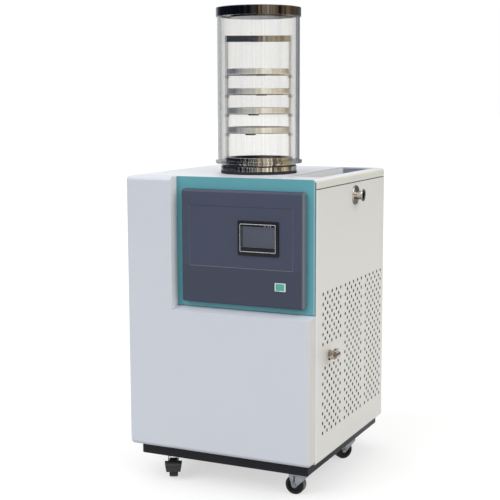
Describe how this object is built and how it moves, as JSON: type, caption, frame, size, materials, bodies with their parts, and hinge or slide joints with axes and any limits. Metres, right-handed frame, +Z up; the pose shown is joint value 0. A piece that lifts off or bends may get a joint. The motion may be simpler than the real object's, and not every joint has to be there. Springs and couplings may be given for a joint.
{
  "type": "freeze dryer",
  "caption": "Floor-standing lab freeze dryer: castor-mounted cabinet with front console and vented sides, and a clear drying chamber with a tray rack standing over a cold trap in the top.",
  "frame": {"origin": "on the floor, under the middle of the overall bounding box", "axes": "+X to the right seen from the front, +Y to the rear, +Z up; the console faces -Y"},
  "size_m": [0.678, 0.69, 1.533],
  "materials": {
    "front_white": "satin moulded, cool white",
    "cover_white": "satin moulded, cool white",
    "side_white": "fine-textured powder coat, warm white",
    "accent_teal": "satin moulded, grey-teal",
    "console_slate": "fine-grained, slate blue",
    "screen_black": "glossy black",
    "screen_glass": "dim grey-blue panel behind glass",
    "switch_frame": "glossy, pale",
    "rocker_green": "translucent green",
    "plinth_black": "satin black",
    "inner_steel": "galvanised sheet",
    "gasket_black": "matt black",
    "gasket_pale": "matt, pale silicone",
    "trap_steel": "satin stainless steel",
    "jacket_foam": "closed-cell foam",
    "clear_tube": "clear acrylic",
    "lid_chrome": "mirror-polished",
    "rack_steel": "polished stainless steel",
    "tray_steel": "brushed stainless steel",
    "valve_nickel": "nickel-plated",
    "shell_black": "gloss black",
    "foot_rubber": "matt",
    "fin_aluminium": "bare",
    "motor_grey": "satin",
    "copper": "bare copper",
    "inlet_black": "matt",
    "castor_zinc": "bright zinc",
    "castor_wheel": "matt black",
    "brake_black": "matt"
  },
  "bodies": {
    "cabinet": {"plinth": "plinth_black", "cabinet_floor": "inner_steel", "front_bezel": "front_white", "accent_panel": "accent_teal", "console_panel": "console_slate", "screen_housing": "screen_black", "screen_glass": "screen_glass", "switch_frame": "switch_frame", "top_cover": "cover_white", "right_side_panel": "side_white", "left_side_panel": "side_white", "rear_panel": "side_white", "post_front_left": "inner_steel", "post_front_right": "inner_steel", "post_rear_left": "inner_steel", "post_rear_right": "inner_steel", "base_gasket": "gasket_black", "cold_trap": "trap_steel", "trap_jacket": "jacket_foam", "foot_gasket": "gasket_black", "chamber_tube": "clear_tube", "lid_gasket": "gasket_pale", "chamber_lid": "lid_chrome", "rack_base": "rack_steel", "rack_rods": "rack_steel", "rack_top": "rack_steel", "tray_1": "tray_steel", "tray_2": "tray_steel", "tray_3": "tray_steel", "tray_4": "tray_steel", "vacuum_port": "trap_steel", "vacuum_line": "trap_steel", "drain_valve": "valve_nickel", "drain_line": "gasket_pale", "compressor": "shell_black", "compressor_feet": "foot_rubber", "condenser": "fin_aluminium", "fan_shroud": "shell_black", "fan_motor": "motor_grey", "filter_drier": "copper", "refrigerant_lines": "copper", "control_box": "inner_steel", "power_inlet": "inlet_black", "castor_fl_plate": "castor_zinc", "castor_fr_plate": "castor_zinc", "castor_rl_plate": "castor_zinc", "castor_rr_plate": "castor_zinc"},
    "rocker": {"switch_rocker": "rocker_green"},
    "lever": {"drain_lever": "valve_nickel"},
    "fan": {"fan_blades": "fin_aluminium"},
    "castor_fl_swivel": {"castor_fl_fork": "castor_zinc"},
    "castor_fl_roll": {"castor_fl_wheel": "castor_wheel"},
    "castor_fl_pedal": {"castor_fl_brake": "brake_black"},
    "castor_fr_swivel": {"castor_fr_fork": "castor_zinc"},
    "castor_fr_roll": {"castor_fr_wheel": "castor_wheel"},
    "castor_rl_swivel": {"castor_rl_fork": "castor_zinc"},
    "castor_rl_roll": {"castor_rl_wheel": "castor_wheel"},
    "castor_rr_swivel": {"castor_rr_fork": "castor_zinc"},
    "castor_rr_roll": {"castor_rr_wheel": "castor_wheel"}
  },
  "joints": [
    {"name": "power_rocker", "type": "hinge", "parent": "cabinet", "child": "rocker", "pos_m": [0.1975, -0.328, 0.672], "axis": [0, 0, 1], "range_deg": [-16, 0]},
    {"name": "drain_lever_turn", "type": "hinge", "parent": "cabinet", "child": "lever", "pos_m": [0.329, -0.2, 0.4597], "axis": [0, 0, 1], "range_deg": [0, 90]},
    {"name": "fan_spin", "type": "hinge", "parent": "cabinet", "child": "fan", "pos_m": [0.199, 0.13, 0.298], "axis": [1, 0, 0], "continuous": true},
    {"name": "front_left_castor_swivel", "type": "hinge", "parent": "cabinet", "child": "castor_fl_swivel", "pos_m": [-0.224, -0.257, 0.0665], "axis": [0, 0, 1], "continuous": true},
    {"name": "front_left_castor_roll", "type": "hinge", "parent": "castor_fl_swivel", "child": "castor_fl_roll", "pos_m": [-0.21273, -0.27819, 0.031], "axis": [-0.8829, -0.4695, 0], "continuous": true},
    {"name": "front_left_castor_brake", "type": "hinge", "parent": "castor_fl_swivel", "child": "castor_fl_pedal", "pos_m": [-0.201, -0.30026, 0.059], "axis": [0.8829, 0.4695, 0], "range_deg": [0, 18]},
    {"name": "front_right_castor_swivel", "type": "hinge", "parent": "cabinet", "child": "castor_fr_swivel", "pos_m": [0.243, -0.257, 0.0665], "axis": [0, 0, 1], "continuous": true},
    {"name": "front_right_castor_roll", "type": "hinge", "parent": "castor_fr_swivel", "child": "castor_fr_roll", "pos_m": [0.21901, -0.25784, 0.031], "axis": [-0.0349, 0.9994, 0], "continuous": true},
    {"name": "rear_left_castor_swivel", "type": "hinge", "parent": "cabinet", "child": "castor_rl_swivel", "pos_m": [-0.224, 0.155, 0.0665], "axis": [0, 0, 1], "continuous": true},
    {"name": "rear_left_castor_roll", "type": "hinge", "parent": "castor_rl_swivel", "child": "castor_rl_roll", "pos_m": [-0.22817, 0.13137, 0.031], "axis": [-0.9848, 0.1736, 0], "continuous": true},
    {"name": "rear_right_castor_swivel", "type": "hinge", "parent": "cabinet", "child": "castor_rr_swivel", "pos_m": [0.243, 0.155, 0.0665], "axis": [0, 0, 1], "continuous": true},
    {"name": "rear_right_castor_roll", "type": "hinge", "parent": "castor_rr_swivel", "child": "castor_rr_roll", "pos_m": [0.22757, 0.13661, 0.031], "axis": [-0.766, 0.6428, 0], "continuous": true}
  ]
}
